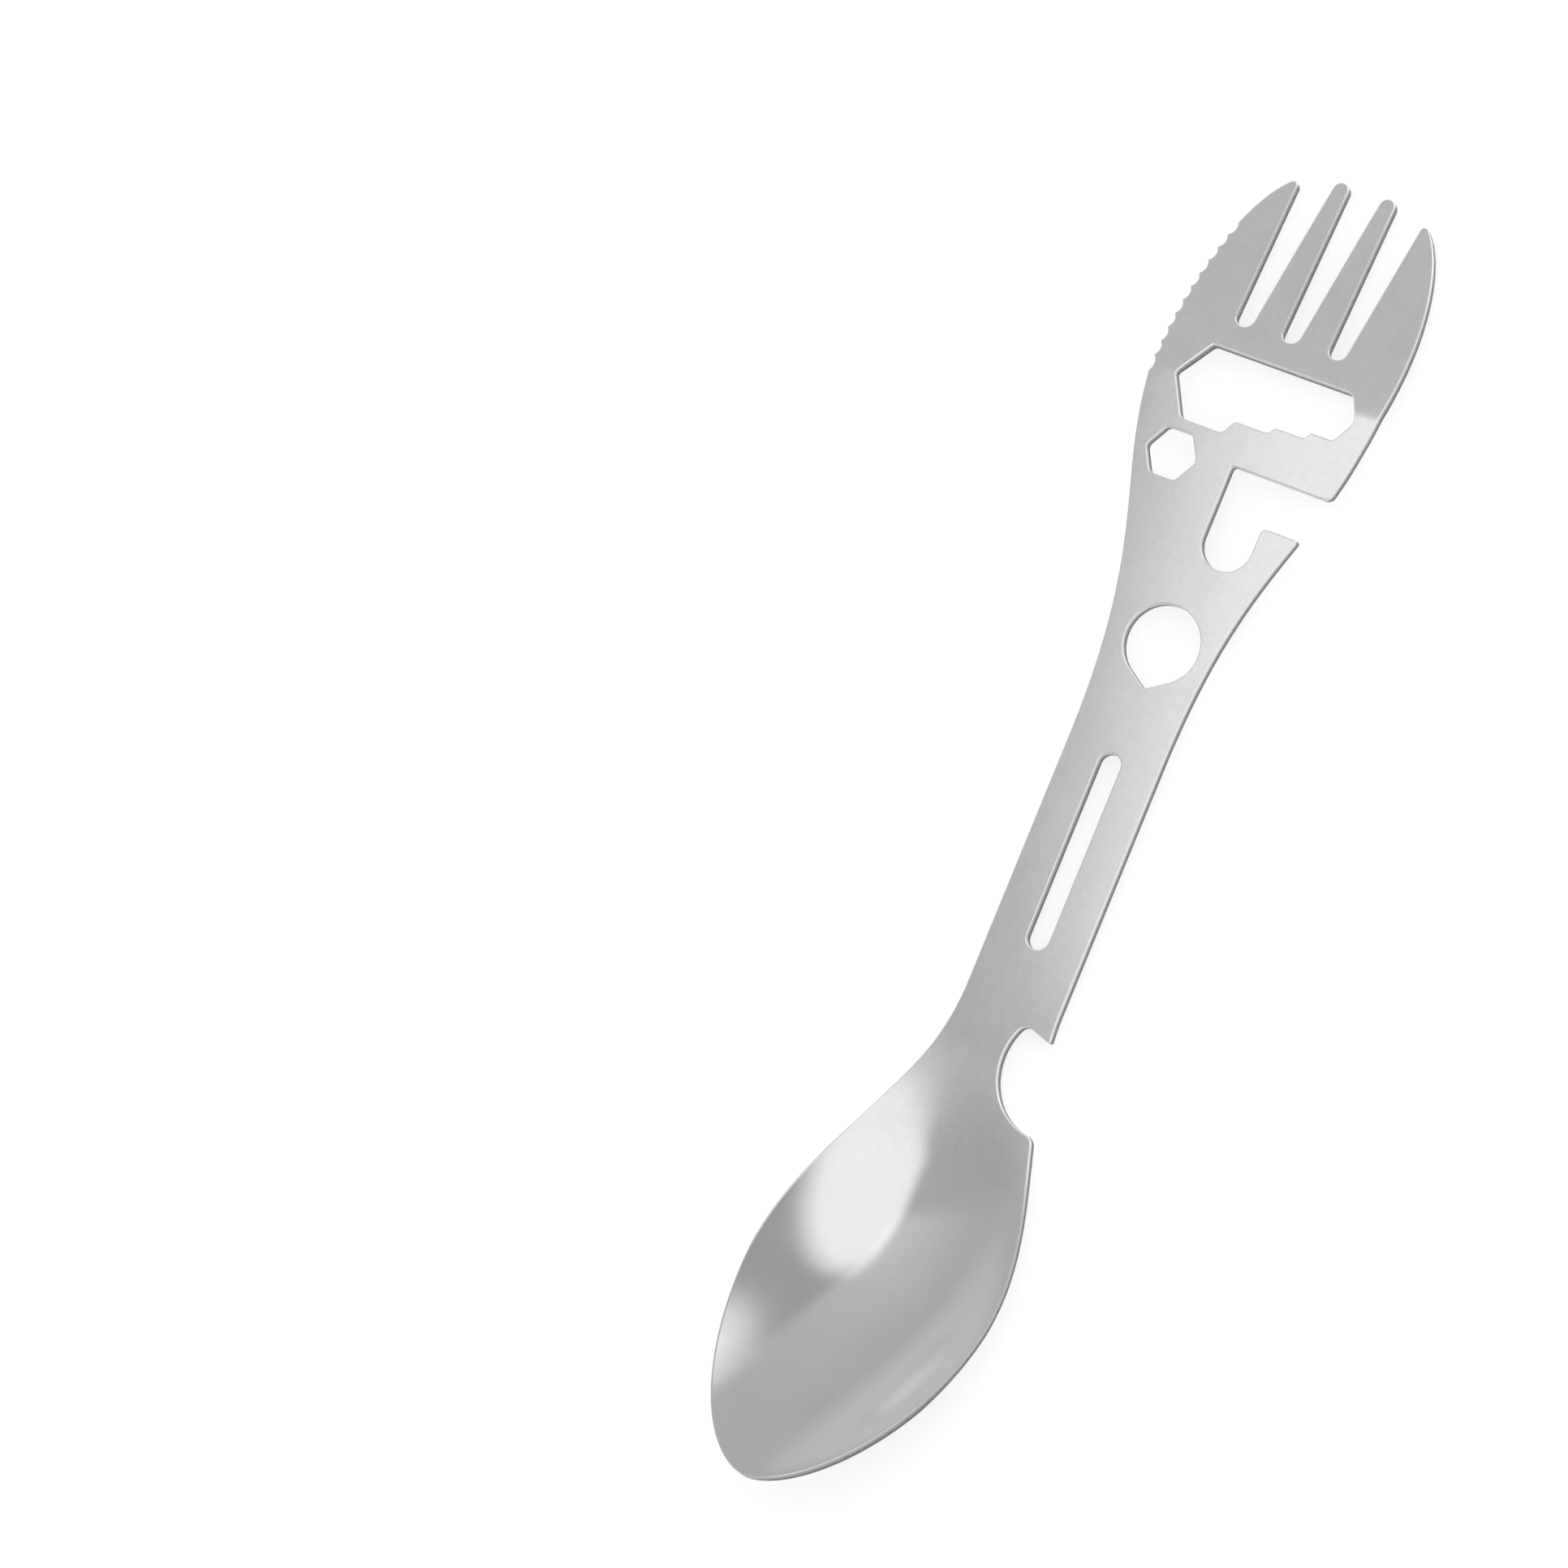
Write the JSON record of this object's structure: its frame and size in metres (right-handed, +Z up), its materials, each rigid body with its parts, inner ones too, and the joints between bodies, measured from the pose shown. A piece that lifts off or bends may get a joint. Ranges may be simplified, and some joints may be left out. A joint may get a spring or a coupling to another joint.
{
  "type": "spork",
  "caption": "Flat steel camping spork with a spoon bowl at one end, a tined fork at the other, and a slotted handle with punched opener and wrench cut-outs between them.",
  "frame": {"origin": "on the table, under the middle of the spork's bounding box", "axes": "+X along the spork from spoon to fork, +Y towards the serrated edge of the fork, +Z up out of the bowl"},
  "size_m": [0.188, 0.035, 0.0198],
  "materials": {
    "steel": "satin stainless steel, polished in the bowl"
  },
  "bodies": {
    "root": {"spoon_bowl": "steel", "neck": "steel", "handle": "steel", "tool_plate": "steel", "fork": "steel"}
  },
  "joints": []
}
